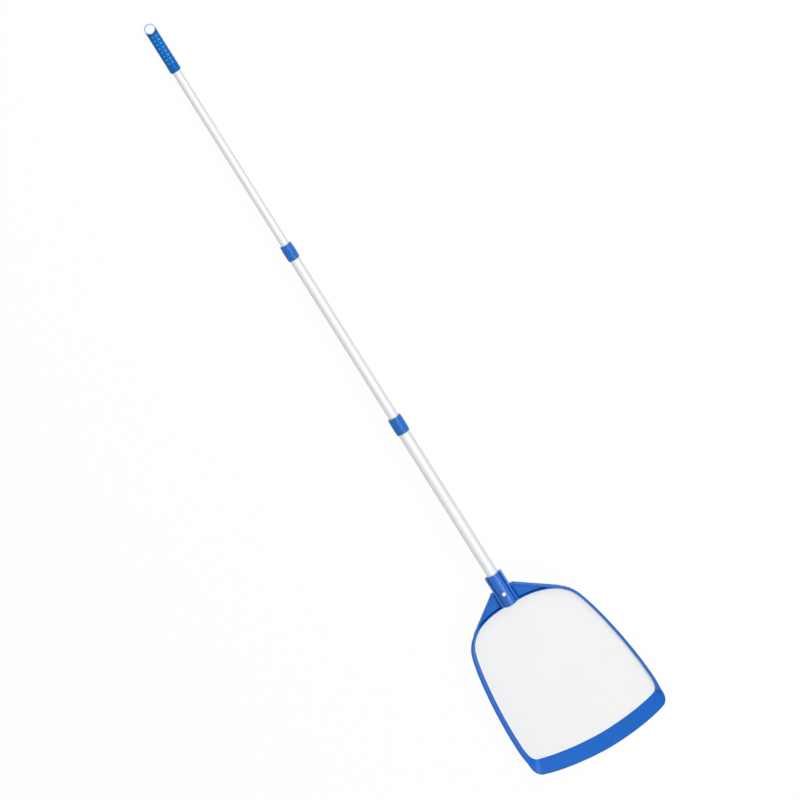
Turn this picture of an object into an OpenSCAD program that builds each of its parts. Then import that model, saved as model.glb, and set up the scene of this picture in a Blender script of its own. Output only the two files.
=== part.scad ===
// Leaf skimmer net on a three-section telescopic pole.
// The pole lies along Y, from the hanging eye at the origin to the skimmer pan at +Y.
// X is across the pan and +Z is the open side of the pan. All sizes are in millimetres.

/* [Grip] */
// Outer diameter of the hand grip
grip_d = 21; // [20:0.5:30]
// Length of the grip, end to end
grip_len = 100; // [80:1:160]
// Diameter of the hanging hole
hang_hole_d = 16.6; // [10:0.2:17]
// Thickness of the hanging eye
eye_t = 7; // [5:0.5:12]
// Turn of the grip about the pole, away from the pan's open side
grip_turn = -10; // [-90:1:90]
// Solid plug between the hanging hole and the tube
grip_plug = 12; // [8:1:20]
// Height of the grip's raised dots
dot_h = 0.7; // [0.3:0.1:1.2]
// Base diameter of a dot
dot_d = 3.2; // [2:0.1:4]
// Distance between dots along the grip
dot_pitch = 8.1; // [6:0.1:12]
// Rows of dots round the grip
dot_rows = 8; // [4:1:8]
// Plain length of the grip in front of the dots
grip_plain = 19.4; // [12:0.1:30]

/* [Tubes] */
// Outer diameter of the inner tube
inner_d = 16; // [15:0.5:16]
// Outer diameter of the middle tube
middle_d = 19; // [19:0.5:19.5]
// Outer diameter of the outer tube
outer_d = 22; // [22:0.5:23]
// Wall of the tubes
tube_wall = 1; // [0.8:0.1:1.1]
// Length of inner tube that shows when the pole is extended
inner_show = 375.2; // [340:0.1:600]
// Length of middle tube that shows when the pole is extended
middle_show = 343; // [300:1:600]
// Length of outer tube that shows
outer_show = 307.8; // [290:0.1:600]
// Length of inner tube inside the middle tube when extended
inner_overlap = 64; // [40:1:100]
// Length of middle tube inside the outer tube when extended
middle_overlap = 66; // [40:1:100]

/* [Collars] */
// Length of the upper collar
upper_collar_len = 31; // [24:1:50]
// Length of the lower collar
lower_collar_len = 33; // [24:1:50]
// Wall of a collar over its tube, at the ends
collar_wall = 1.7; // [1.4:0.1:3]
// How much a collar bulges at its middle
collar_crown = 0.5; // [0:0.1:1.2]
// Length of the guide lip behind the tube's end
collar_lip = 5; // [3:0.5:10]
// Rounding of a collar's edges
collar_round = 1; // [0.4:0.1:1.2]

/* [Twist locks] */
// Diameter of the upper lock's threaded rod
upper_rod_d = 6; // [5:0.5:7]
// Diameter of the lower lock's threaded rod
lower_rod_d = 8; // [6:0.5:9]
// Length of the stud's shank in its tube
shank_len = 16; // [10:1:30]
// Thickness of the stud's flange
flange_t = 2; // [1.5:0.5:4]
// Length of the expanding sleeve
sleeve_len = 15; // [14:1:24]
// Width of the sleeve's slits
slit_w = 1.2; // [0.8:0.1:1.6]
// Length that the cone nut stands out of the sleeve
cone_proud = 2; // [1.5:0.5:4]
// Travel of the cone nut in half a turn
cone_travel = 0.75; // [0.5:0.05:1.5]
// Thickness of the end washer
washer_t = 1; // [0.8:0.1:2]
// Diameter of the retaining screw
screw_d = 3; // [2.5:0.5:3.5]
// Height of the retaining screw's head
screw_head_h = 2.2; // [1.5:0.1:3]

/* [Spring clip] */
// Diameter of a push button
button_d = 7; // [5:0.5:8]
// Distance from the socket's mouth to the buttons
button_depth = 40; // [36:1:50]
// How far a button stands out of the socket
button_proud = 1.2; // [0.6:0.1:2.5]
// Width of the clip's strip
clip_w = 6; // [4:0.5:7]
// Thickness of the clip's strip
clip_t = 1.4; // [0.8:0.1:1.6]
// Distance from the clip's bend to the buttons
clip_leg = 28; // [20:1:32]

/* [Socket] */
// Length of the pole socket
socket_len = 65; // [62:1:90]
// How far the side rails stop short of the socket's end
rail_short = 3.4; // [0:0.1:5]
// Depth of the socket's bore
socket_depth = 57.5; // [54:0.5:58]
// Wall of the socket round the tube
socket_wall = 2; // [1.6:0.1:3.5]
// Half width of the socket across its side rails
rail_half = 16.3; // [15.5:0.1:18]
// Half height of the side rails
rail_rise = 6.5; // [4:0.5:8]
// Step in the rails where the gussets begin
rail_step = 0.4; // [0:0.1:0.8]
// Depth of the hollows in the rails, from the mouth
rail_core_depth = 26; // [10:1:30]
// Wall left outside a rail's hollow
rail_wall = 1.4; // [1:0.1:2]

/* [Pan] */
// Angle of the pan below the pole
pan_angle = 10; // [0:1:15]
// Distance from the start of the pan to the socket's end
pan_start = 5; // [-5:0.5:8]
// Half width of the net opening at its widest
net_half_w = 133.4; // [125:0.1:150]
// Length of the net opening from the pan's start to the lip
net_len = 315.9; // [310:0.1:340]
// Distance from the pan's start to the arch of the opening
arch_m = 8.8; // [6:0.2:12]
// Half width of the opening at the shoulder
shoulder_x = 107.4; // [102:0.2:112]
// Distance of the shoulder from the pan's start
shoulder_m = 60.8; // [56:0.2:70]
// Slope of the edge at the shoulder, from the X axis
shoulder_deg = 72; // [66:1:78]
// Distance of the widest place from the pan's start
corner_m = 267.4; // [255:0.2:275]
// Distance of the lip's corner in from the widest place
corner_inset = 13.4; // [12:0.1:18]
// Bow of the lip over its width
lip_bow = 16.2; // [5:0.2:25]
// Width of the rim at the sides and the arch
side_band = 8.2; // [8:0.1:14]
// Width of the front lip
lip_band = 28.8; // [20:0.1:40]
// Width of the flange along the rim's edge
rim_flange = 4; // [3:0.1:5]
// Thickness of the flange
flange_thick = 2.4; // [1.6:0.1:3]
// Thickness of the rim's wall
rim_wall = 2.2; // [1.6:0.1:3]
// Depth of the pan from the flange to the rim's foot
pan_depth = 13.5; // [12:0.5:18]
// Height of the flange above the pole's axis
pan_top = 0.5; // [-2:0.1:2]
// Thickness of the rim's foot
foot_t = 1.5; // [1:0.1:2.5]
// Width of the rim's foot
foot_w = 5; // [5:0.5:6]

/* [Gussets] */
// Distance from the pan's start back to the gussets' end
gusset_back = 28.7; // [24:0.1:34]
// Half width over the gussets at their end
gusset_half = 22.7; // [22:0.1:30]
// Where the gusset meets the rim, as a share of the arch
gusset_reach = 0.68; // [0.5:0.01:0.8]
// Width of the gusset's raised border
border_w = 3.4; // [2:0.1:5]
// Height of the gusset's border
border_h = 10; // [8:0.5:12]
// Depth of the gusset's plate below its border
plate_recess = 5; // [2:0.5:6]
// Thickness of the gusset's plate
plate_t = 2; // [1.5:0.1:3]
// Groove between the socket and the gusset's inner ridge
ridge_gap = 1.2; // [0.8:0.1:2]
// Width of the inner ridge
ridge_w = 2.2; // [1.5:0.1:3]

/* [Net] */
// Gaps of the net across the pan
net_gaps_x = 15; // [8:1:15]
// Gaps of the net along the pan
net_gaps_m = 17; // [8:1:17]
// Width of the net's strands
strand_w = 1.2; // [0.8:0.1:2]
// Thickness of the net
net_t = 0.8; // [0.6:0.1:1.2]
// How far the net runs under the rim
net_tuck = 4; // [3:0.1:4.2]
// Height of the ring that clamps the net
ring_h = 2; // [1:0.1:3]

/* [Clearances] */
// Radial clearance of a sliding tube or sleeve
slide_gap = 0.25; // [0.15:0.01:0.3]
// Radial clearance of a pressed or glued seat
seat_gap = 0.05; // [0.02:0.01:0.1]
// Clearance between loose faces
part_gap = 0.3; // [0.2:0.01:0.4]

/* [Hidden] */
$fn = 64;
eps = 0.02;

// Colours
blue = [0.13, 0.40, 0.75];
bright_blue = [0.02, 0.42, 0.84];
silver = [0.82, 0.83, 0.85];
steel = [0.62, 0.63, 0.65];
white = [0.95, 0.95, 0.96];
grey = [0.35, 0.36, 0.38];

// Stations along the pole, from the hanging eye to the pan
y_eye_end = -grip_d / 2;
eye_land = 1.2;
eye_ramp = 2.2;
y_eye_land = hang_hole_d / 2 + eye_land;
y_grip_front = grip_len + y_eye_end;
y_upper_collar = y_grip_front + inner_show;
y_lower_collar = y_upper_collar + upper_collar_len + middle_show;
y_mouth = y_lower_collar + lower_collar_len + outer_show;
y_pan = y_mouth + socket_len - pan_start;
y_button = y_mouth + button_depth;

// Ends of the tubes
y_inner_0 = hang_hole_d / 2 + grip_plug;
y_middle_0 = y_upper_collar + collar_lip;
y_outer_0 = y_lower_collar + collar_lip;
y_inner_1 = y_middle_0 + inner_overlap;
y_middle_1 = y_outer_0 + middle_overlap;
y_outer_1 = y_mouth + socket_depth - part_gap;

inner_bore = inner_d - 2 * tube_wall;
middle_bore = middle_d - 2 * tube_wall;
outer_bore = outer_d - 2 * tube_wall;
socket_bore = outer_d + 2 * seat_gap;
socket_r = outer_d / 2 + socket_wall;
saddle_half = rail_half + rail_step + part_gap;

// Twist lock: the rod ends a running gap past the cone nut's travel
rod_len = part_gap + sleeve_len + cone_proud + cone_travel + part_gap;
screw_hole_depth = 10;
cone_start = 5;
cone_tip = 3;
sleeve_edge = 1.2;
washer_rim = 2;
cross_w = 0.7;

// Pan heights in the pan's own plane
foot_z = pan_top - pan_depth;
lip_corner_deg = 163;
ring_step = 0.3;
band_power = 2.3;
edge_cut = 0.6;
foot_ledge = 0.6;

// Puts the z axis of its children along the pole, with z = 0 at y
module along_pole(y) {
    translate([0, y, 0]) rotate([-90, 0, 0]) children();
}

// Places its children in the plane of the pan: x across, y from the pan's start to the lip
module in_pan_plane() {
    translate([0, y_pan, 0]) rotate([-pan_angle, 0, 0]) children();
}

// Straight round tube along the pole
module pipe(y, len, d_out, d_in) {
    along_pole(y) difference() {
        cylinder(h = len, d = d_out);
        translate([0, 0, -1]) cylinder(h = len + 2, d = d_in);
    }
}

// Profile of a solid of revolution with rounded ends and a crowned side
function crowned(len, r_end, crown, round) = concat(
    [[0, 0]],
    [for (a = [0:15:90]) [r_end - round + round * sin(a), round - round * cos(a)]],
    [for (k = [1:7]) [r_end + crown * sin(180 * k / 8), round + (len - 2 * round) * k / 8]],
    [for (a = [90:-15:0]) [r_end - round + round * sin(a), len - round + round * cos(a)]],
    [[0, len]]
);

// ---- Pole ----

module grip_dots() {
    first = y_eye_land + eye_ramp + dot_d / 2;
    foremost = y_grip_front - grip_plain;
    for (row = [0:dot_rows - 1], y = [foremost:-dot_pitch:first])
        translate([0, y, 0])
            rotate([0, 360 * (row + 0.5) / dot_rows, 0])
                translate([0, 0, grip_d / 2 - seat_gap]) grip_dot();
}

// A low dome whose rim lies in the grip's surface
module grip_dot() {
    dome_r = (dot_d * dot_d / 4 + dot_h * dot_h) / (2 * dot_h);
    translate([0, 0, dot_h - dome_r]) intersection() {
        sphere(r = dome_r, $fn = 24);
        translate([0, 0, dome_r]) cube([2 * dot_d, 2 * dot_d, 3 * dot_h], center = true);
    }
}

module hand_grip() {
    top = grip_d / 2 + 1;
    color(bright_blue) rotate([0, grip_turn, 0]) {
        difference() {
            union() {
                along_pole(0) rotate_extrude() polygon(crowned(y_grip_front, grip_d / 2, 0, 1));
                cylinder(h = eye_t, d = grip_d, center = true);
            }
            for (side = [-1, 1]) on_side(side) rotate([90, 0, 90])
                linear_extrude(grip_d + 2, center = true) polygon([
                    [-grip_d, eye_t / 2], [y_eye_land, eye_t / 2],
                    [y_eye_land + eye_ramp, top], [-grip_d, top]]);
            cylinder(h = grip_d + 2, d = hang_hole_d, center = true);
            along_pole(y_inner_0) cylinder(h = grip_len, d = inner_d + 2 * seat_gap);
        }
        grip_dots();
    }
}

// Mirrors its children to the under side when side is -1
module on_side(side) {
    if (side > 0) children();
    else mirror([0, 0, 1]) children();
}

module inner_tube() {
    color(silver) pipe(y_inner_0 + part_gap, y_inner_1 - y_inner_0 - part_gap, inner_d, inner_bore);
}

module middle_tube() {
    color(silver) pipe(y_middle_0, y_middle_1 - y_middle_0, middle_d, middle_bore);
}

module outer_tube() {
    color(silver) difference() {
        pipe(y_outer_0, y_outer_1 - y_outer_0, outer_d, outer_bore);
        translate([0, y_button, 0])
            cylinder(h = outer_d + 2, d = button_d + 2 * part_gap, center = true);
    }
}

// Sleeve over the end of tube_d with a guide lip round the sliding tube
module collar(y, len, tube_d, sliding_d) {
    color(blue) difference() {
        along_pole(y) rotate_extrude()
            polygon(crowned(len, tube_d / 2 + collar_wall, collar_crown, collar_round));
        along_pole(y + collar_lip) cylinder(h = len, d = tube_d + 2 * seat_gap);
        along_pole(y - 1) cylinder(h = len, d = sliding_d + 2 * slide_gap);
    }
}

module upper_collar() {
    collar(y_upper_collar, upper_collar_len, middle_d, inner_d);
}

module lower_collar() {
    collar(y_lower_collar, lower_collar_len, outer_d, middle_d);
}

// ---- Twist locks: y_end is the end of the tube that carries the lock ----

module lock_stud(y_end, tube_d, tube_bore, rod_d) {
    color(grey) difference() {
        union() {
            along_pole(y_end - shank_len) cylinder(h = shank_len, d = tube_bore - 2 * seat_gap);
            along_pole(y_end) cylinder(h = flange_t, d = tube_d);
            along_pole(y_end + flange_t - eps) cylinder(h = rod_len + eps, d = rod_d);
        }
        along_pole(y_end + flange_t + rod_len - screw_hole_depth)
            cylinder(h = screw_hole_depth + 1, d = screw_d + 2 * seat_gap, $fn = 32);
    }
}

// Radius of the sleeve's cone at a distance from the sleeve's start
function cone_r(z, rod_d, host_bore) =
    rod_d / 2 + slide_gap
    + (host_bore / 2 - sleeve_edge - rod_d / 2 - 2 * slide_gap)
    * (z - cone_start) / (sleeve_len - cone_start);

module lock_sleeve(y_end, host_bore, rod_d) {
    r_out = host_bore / 2 - slide_gap;
    color(white) along_pole(y_end + flange_t + part_gap) difference() {
        cylinder(h = sleeve_len, r = r_out);
        translate([0, 0, -1]) cylinder(h = sleeve_len, r = rod_d / 2 + slide_gap);
        rotate_extrude() polygon([
            [0, cone_start], [cone_r(cone_start, rod_d, host_bore), cone_start],
            [cone_r(sleeve_len + 1, rod_d, host_bore), sleeve_len + 1], [0, sleeve_len + 1]]);
        for (a = [45, 135]) rotate([0, 0, a])
            translate([-host_bore, -slit_w / 2, cone_start]) cube([2 * host_bore, slit_w, sleeve_len]);
    }
}

module cone_nut(y_end, host_bore, rod_d) {
    z_tip = cone_start + cone_tip;
    z_end = sleeve_len + cone_proud;
    color(grey) along_pole(y_end + flange_t + part_gap) difference() {
        rotate_extrude() polygon([
            [0, z_tip], [cone_r(z_tip, rod_d, host_bore) - part_gap, z_tip],
            [cone_r(sleeve_len, rod_d, host_bore) - part_gap, sleeve_len],
            [cone_r(sleeve_len, rod_d, host_bore) - part_gap, z_end], [0, z_end]]);
        translate([0, 0, z_tip - 1]) cylinder(h = z_end, r = rod_d / 2 + slide_gap / 2);
    }
}

module lock_washer(y_end, rod_d) {
    color(steel)
        pipe(y_end + flange_t + rod_len, washer_t, rod_d + 2 * washer_rim, screw_d + 2 * seat_gap);
}

module lock_screw(y_end, rod_d) {
    y_head = y_end + flange_t + rod_len + washer_t;
    shank = screw_hole_depth + washer_t - 1;
    color(steel) difference() {
        union() {
            along_pole(y_head) rotate_extrude() polygon([
                [0, 0], [screw_d, 0], [screw_d, screw_head_h / 2],
                [0.7 * screw_d, screw_head_h], [0, screw_head_h]]);
            along_pole(y_head - shank) cylinder(h = shank + 1, d = screw_d, $fn = 32);
        }
        for (a = [0, 90]) translate([0, y_head + screw_head_h, 0]) rotate([0, a, 0])
            cube([screw_d, screw_head_h, cross_w], center = true);
    }
}

module upper_lock_stud() { lock_stud(y_inner_1, inner_d, inner_bore, upper_rod_d); }
module upper_lock_sleeve() { lock_sleeve(y_inner_1, middle_bore, upper_rod_d); }
module upper_cone_nut() { cone_nut(y_inner_1, middle_bore, upper_rod_d); }
module upper_lock_washer() { lock_washer(y_inner_1, upper_rod_d); }
module upper_lock_screw() { lock_screw(y_inner_1, upper_rod_d); }
module lower_lock_stud() { lock_stud(y_middle_1, middle_d, middle_bore, lower_rod_d); }
module lower_lock_sleeve() { lock_sleeve(y_middle_1, outer_bore, lower_rod_d); }
module lower_cone_nut() { cone_nut(y_middle_1, outer_bore, lower_rod_d); }
module lower_lock_washer() { lock_washer(y_middle_1, lower_rod_d); }
module lower_lock_screw() { lock_screw(y_middle_1, lower_rod_d); }

// ---- Spring clip in the end of the outer tube ----

clip_y0 = y_button - clip_leg;
pad_gap = 1;
pad_margin = 2;
button_round = 1;
clip_pad_z = sqrt(pow(outer_bore / 2, 2) - pow(clip_w / 2, 2)) - pad_gap;
clip_pad_half = button_d / 2 + pad_margin;

module clip_strip(outline) {
    rotate([90, 0, 90]) linear_extrude(clip_w, center = true) polygon(outline);
}

module clip_bend() {
    color(white) intersection() {
        translate([0, clip_y0, 0]) rotate([0, 90, 0])
            cylinder(h = clip_w, r = clip_t + part_gap / 2, center = true, $fn = 32);
        translate([0, clip_y0 - clip_t - part_gap, 0])
            cube([2 * clip_w, 2 * (clip_t + part_gap), 4 * clip_t], center = true);
    }
}

module clip_leg_strip() {
    bend = part_gap / 2;
    clip_strip([
        [clip_y0, bend], [clip_y0, bend + clip_t],
        [y_button - clip_pad_half, clip_pad_z], [y_button + clip_pad_half, clip_pad_z],
        [y_button + clip_pad_half, clip_pad_z - clip_t], [y_button - clip_pad_half, clip_pad_z - clip_t]]);
}

module front_clip_leg() {
    color(white) clip_leg_strip();
}

module rear_clip_leg() {
    color(white) mirror([0, 0, 1]) clip_leg_strip();
}

module push_button() {
    h = socket_r + button_proud - clip_pad_z;
    translate([0, y_button, clip_pad_z]) rotate_extrude() polygon(concat(
        [[0, 0], [button_d / 2, 0]],
        [for (a = [90:-15:0])
            [button_d / 2 - button_round * (1 - sin(a)), h - button_round * (1 - cos(a))]],
        [[0, h]]));
}

module front_button() {
    color(white) push_button();
}

module rear_button() {
    color(white) mirror([0, 0, 1]) push_button();
}

// ---- Outline of the net opening, in the plane of the pan ----

function dir(a) = [cos(a), sin(a)];
function bezier(p, q, r, s, t) =
    pow(1 - t, 3) * p + 3 * t * pow(1 - t, 2) * q + 3 * t * t * (1 - t) * r + pow(t, 3) * s;
function slope(p, q, r, s, t) =
    3 * pow(1 - t, 2) * (q - p) + 6 * t * (1 - t) * (r - q) + 3 * t * t * (s - r);

arch_pt = [saddle_half, arch_m];
shoulder_pt = [shoulder_x, shoulder_m];
side_pt = [net_half_w, corner_m];
corner_pt = [net_half_w - corner_inset, net_len - lip_bow];
lip_pt = [0, net_len];

// How far each curve keeps its direction at its two ends
arch_pull = [25, 45.6];
side_pull = [40, 75];
corner_pull = [24.6, 7.7];
lip_pull = [37.6, 33.7];

// Curve from p in direction a to q in direction b, with its count of steps
function bow(p, a, q, b, pull, steps) = [p, p + pull[0] * dir(a), q - pull[1] * dir(b), q, steps];

// Four curves from the arch to the middle of the lip
curves = [
    bow(arch_pt, 0, shoulder_pt, shoulder_deg, arch_pull, 14),
    bow(shoulder_pt, shoulder_deg, side_pt, 90, side_pull, 10),
    bow(side_pt, 90, corner_pt, lip_corner_deg, corner_pull, 9),
    bow(corner_pt, lip_corner_deg, lip_pt, 180, lip_pull, 7)
];

function unit(v) = v / norm(v);
// A station is [point, outward normal]
function station(c, t) =
    let (d = unit(slope(c[0], c[1], c[2], c[3], t)))
    [bezier(c[0], c[1], c[2], c[3], t), [d[1], -d[0]]];
half_path = concat(
    [for (c = curves) for (k = [0:c[4] - 1]) station(c, k / c[4])],
    [[lip_pt, [0, 1]]]
);
last = len(half_path) - 1;
path = concat(half_path, [for (k = [last - 1:-1:0])
    [[-half_path[k][0][0], half_path[k][0][1]], [-half_path[k][1][0], half_path[k][1][1]]]]);

// Outline at a distance outside the net opening's edge
function outline(off) = [for (s = path) s[0] + off * s[1]];
// Width of the rim at a station
function band(s) = side_band + (lip_band - side_band) * pow(max(0, s[1][1]), band_power);

// Section of the rim: distance out from the net's edge, and height
function rim_section(b) =
    let (
        run = b - rim_flange,
        rise = pan_depth - foot_t,
        face = norm([run, rise]),
        drop = rim_wall * run / face,
        shift = rim_wall * rise / face,
        under_top = shift + run * (rise - flange_thick + drop) / rise,
        under_foot = shift + run * drop / rise,
        foot = max(foot_w, under_foot + foot_ledge)
    )
    [
        [0, foot_z], [0, foot_z + foot_t], [run, pan_top], [b - edge_cut, pan_top],
        [b, pan_top - edge_cut],
        [b, pan_top - flange_thick], [under_top, pan_top - flange_thick],
        [under_foot, foot_z + foot_t], [foot, foot_z + foot_t], [foot, foot_z]
    ];
n_sec = len(rim_section(side_band));
// Triangles that fill the section: its foot, its wall and its flange
section_fill = [
    [0, 1, 7], [0, 7, 9], [7, 8, 9],
    [1, 2, 6], [1, 6, 7],
    [2, 3, 4], [2, 4, 5], [2, 5, 6]
];

module pan_rim() {
    n = len(path);
    points = [for (s = path) for (p = rim_section(band(s)))
        [s[0][0] + p[0] * s[1][0], s[0][1] + p[0] * s[1][1], p[1]]];
    sides = [for (i = [0:n - 2]) for (j = [0:n_sec - 1]) let (k = (j + 1) % n_sec)
        each [
            [i * n_sec + j, i * n_sec + k, (i + 1) * n_sec + k],
            [i * n_sec + j, (i + 1) * n_sec + k, (i + 1) * n_sec + j]
        ]];
    start_cap = [for (t = section_fill) [t[2], t[1], t[0]]];
    end_cap = [for (t = section_fill) [for (j = t) (n - 1) * n_sec + j]];
    color(blue) in_pan_plane() polyhedron(points, concat(sides, start_cap, end_cap));
}

// ---- Socket ----

module rail(y, len, half) {
    along_pole(y) intersection() {
        cylinder(h = len, r = half);
        translate([0, 0, len / 2]) cube([3 * half, 2 * rail_rise, len + 2], center = true);
    }
}

// Bridge that carries the rim across under the socket
module saddle() {
    in_pan_plane() rotate([90, 0, 90]) linear_extrude(2 * saddle_half, center = true)
        polygon([for (p = rim_section(side_band)) [arch_m - p[0], p[1]]]);
}

module pole_socket() {
    step_y = y_pan - gusset_back;
    core_half = rail_half - rail_wall;
    rail_len = socket_len - rail_short;
    color(blue) difference() {
        union() {
            along_pole(y_mouth) cylinder(h = socket_len, r = socket_r);
            rail(y_mouth, rail_len, rail_half);
            rail(step_y, y_mouth + rail_len - step_y, rail_half + rail_step);
            saddle();
        }
        along_pole(y_mouth - 1) cylinder(h = socket_depth + 1, d = socket_bore);
        translate([0, y_mouth + rail_core_depth / 2, 0])
            cube([2 * core_half, rail_core_depth, 2 * (rail_rise - rail_wall)], center = true);
        translate([0, y_button, 0])
            cylinder(h = 3 * outer_d, d = button_d + 2 * part_gap, center = true);
    }
}

// ---- Gussets between the socket and the rim ----

// Gusset outline with its arch side at a distance outside the net's edge
function gusset_outline(off) = concat(
    [[saddle_half + part_gap, -gusset_back], [gusset_half, -gusset_back]],
    [for (k = [gusset_steps:-1:0])
        let (s = station(curves[0], gusset_reach * k / gusset_steps)) s[0] + off * s[1]],
    [[saddle_half + part_gap, arch_m - off]]
);
gusset_steps = 10;

module gusset_prism(off, z_low, z_high) {
    translate([0, 0, z_low]) linear_extrude(z_high - z_low) polygon(gusset_outline(off));
}

module gusset() {
    reach = station(curves[0], gusset_reach);
    tip = reach[0] + (side_band + part_gap) * reach[1];
    back = [gusset_half, -gusset_back];
    lean = atan2(tip[1] - back[1], tip[0] - back[0]);
    z_low = pan_top - border_h;
    plate_top = pan_top - plate_recess;
    tuck = side_band - rim_flange + edge_cut;
    end_border = 0.7 * border_w;
    ridge_x = saddle_half + part_gap + ridge_gap;
    color(blue) in_pan_plane() {
        gusset_prism(tuck, plate_top - plate_t, plate_top);
        intersection() {
            gusset_prism(side_band + part_gap, z_low, pan_top);
            union() {
                translate([back[0], back[1], z_low - 1]) rotate([0, 0, lean])
                    translate([-2 * border_w, 0, 0]) cube([2 * net_half_w, border_w, border_h + 2]);
                translate([0, -gusset_back - 1, z_low - 1])
                    cube([net_half_w, end_border + 1, border_h + 2]);
                translate([ridge_x, -gusset_back, z_low - 1])
                    cube([ridge_w, gusset_back + arch_m, border_h + 2]);
            }
        }
    }
}

module right_gusset() {
    gusset();
}

module left_gusset() {
    mirror([1, 0, 0]) gusset();
}

// ---- Net and its clamping ring ----

module net() {
    pitch_x = 2 * (net_half_w + net_tuck) / net_gaps_x;
    pitch_m = (net_len - arch_m + 2 * net_tuck) / net_gaps_m;
    color(white) in_pan_plane() translate([0, 0, foot_z - net_t]) linear_extrude(net_t) {
        difference() {
            polygon(outline(net_tuck));
            polygon(outline(-strand_w));
        }
        intersection() {
            polygon(outline(net_tuck));
            union() {
                for (k = [1:net_gaps_x - 1])
                    translate([-net_half_w - net_tuck + k * pitch_x - strand_w / 2, 0])
                        square([strand_w, net_len + lip_band]);
                for (k = [1:net_gaps_m - 1])
                    translate([-2 * net_half_w, arch_m - net_tuck + k * pitch_m - strand_w / 2])
                        square([4 * net_half_w, strand_w]);
            }
        }
    }
}

module net_ring() {
    color(blue) in_pan_plane() translate([0, 0, foot_z - net_t - ring_h]) linear_extrude(ring_h)
        difference() {
            polygon(outline(net_tuck + ring_step));
            polygon(outline(ring_step));
        }
}

hand_grip();
inner_tube();
upper_collar();
middle_tube();
lower_collar();
outer_tube();
upper_lock_stud();
upper_lock_sleeve();
upper_cone_nut();
upper_lock_washer();
upper_lock_screw();
lower_lock_stud();
lower_lock_sleeve();
lower_cone_nut();
lower_lock_washer();
lower_lock_screw();
clip_bend();
front_clip_leg();
rear_clip_leg();
front_button();
rear_button();
pole_socket();
pan_rim();
left_gusset();
right_gusset();
net();
net_ring();
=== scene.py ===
"""Leaf skimmer net on a three-section telescopic pole: the moulded head, the woven net,
the grip and the finishes, built around the packed part. Sizes are in metres."""

import math

import bmesh
import bpy
import numpy as np
from bpy.props import FloatProperty, FloatVectorProperty, IntProperty, PointerProperty
from mathutils import Matrix, Vector


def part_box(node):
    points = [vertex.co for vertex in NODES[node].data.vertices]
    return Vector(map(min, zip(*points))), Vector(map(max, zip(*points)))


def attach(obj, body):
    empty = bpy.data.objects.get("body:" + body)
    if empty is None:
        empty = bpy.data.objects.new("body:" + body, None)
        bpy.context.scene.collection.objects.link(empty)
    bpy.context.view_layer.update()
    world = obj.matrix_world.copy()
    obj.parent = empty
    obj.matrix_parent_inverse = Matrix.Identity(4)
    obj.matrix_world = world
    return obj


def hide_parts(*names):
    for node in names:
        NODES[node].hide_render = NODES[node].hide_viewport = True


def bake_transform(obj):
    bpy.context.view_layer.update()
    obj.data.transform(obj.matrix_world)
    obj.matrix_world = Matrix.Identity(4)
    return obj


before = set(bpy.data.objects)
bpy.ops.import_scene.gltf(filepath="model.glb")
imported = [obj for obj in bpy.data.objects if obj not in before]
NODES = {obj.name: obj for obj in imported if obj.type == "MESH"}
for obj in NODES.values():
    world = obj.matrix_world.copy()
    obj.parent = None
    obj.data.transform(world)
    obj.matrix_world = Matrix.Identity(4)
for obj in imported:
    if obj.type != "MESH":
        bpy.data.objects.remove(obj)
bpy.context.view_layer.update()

bl_info = {
    "name": "Leaf Skimmer Net",
    "version": (1, 0, 0),
    "blender": (4, 5, 0),
    "location": "3D View > Sidebar > Skimmer",
    "description": "Builds the skimmer's moulded head, woven net, grip and finishes",
    "category": "Object",
}

MM = 0.001
MATH = "ShaderNodeMath"
POLE = "outer_pole"
INNER_POLE = "inner_pole"
TUBE_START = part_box("inner_tube")[0].y


def linear(hex_colour):
    """sRGB hex to the linear values that Blender's colours hold."""
    parts = [int(hex_colour[i:i + 2], 16) / 255 for i in (0, 2, 4)]
    return tuple(c / 12.92 if c <= 0.04045 else ((c + 0.055) / 1.055) ** 2.4 for c in parts)


# ---- Settings ----

def length(name, description, default, **more):
    """A length in metres for a property group."""
    return FloatProperty(name=name, description=description, default=default, min=0.0,
                         unit="LENGTH", precision=4, **more)


def number(name, description, default, low=0.0, **more):
    """A number in its own unit for a property group."""
    return FloatProperty(name=name, description=description, default=default, min=low, **more)


def angle(name, description, degrees):
    """An angle for a property group, from its value in degrees."""
    return FloatProperty(name=name, description=description, default=math.radians(degrees),
                         subtype="ANGLE")


def colour(name, description, default):
    """A colour for a property group, from its sRGB hex value."""
    return FloatVectorProperty(name=name, description=description, subtype="COLOR", size=3,
                               min=0.0, max=1.0, default=linear(default))


class SKIMMER_PG_pole(bpy.types.PropertyGroup):
    """Finishes of the pole"""
    tube_colour: colour("Tube", "Anodised aluminium of the three tubes", "D7D8DA")
    collar_colour: colour("Collar", "Moulded ABS of the collars", "0E62B4")
    lock_colour: colour("Lock", "Grey nylon of the twist locks", "5A5D62")
    button_colour: colour("Button", "White acetal of the push buttons", "F4F5F7")
    steel_colour: colour("Steel", "Zinc-plated steel of the screws", "B9BCC0")


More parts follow.
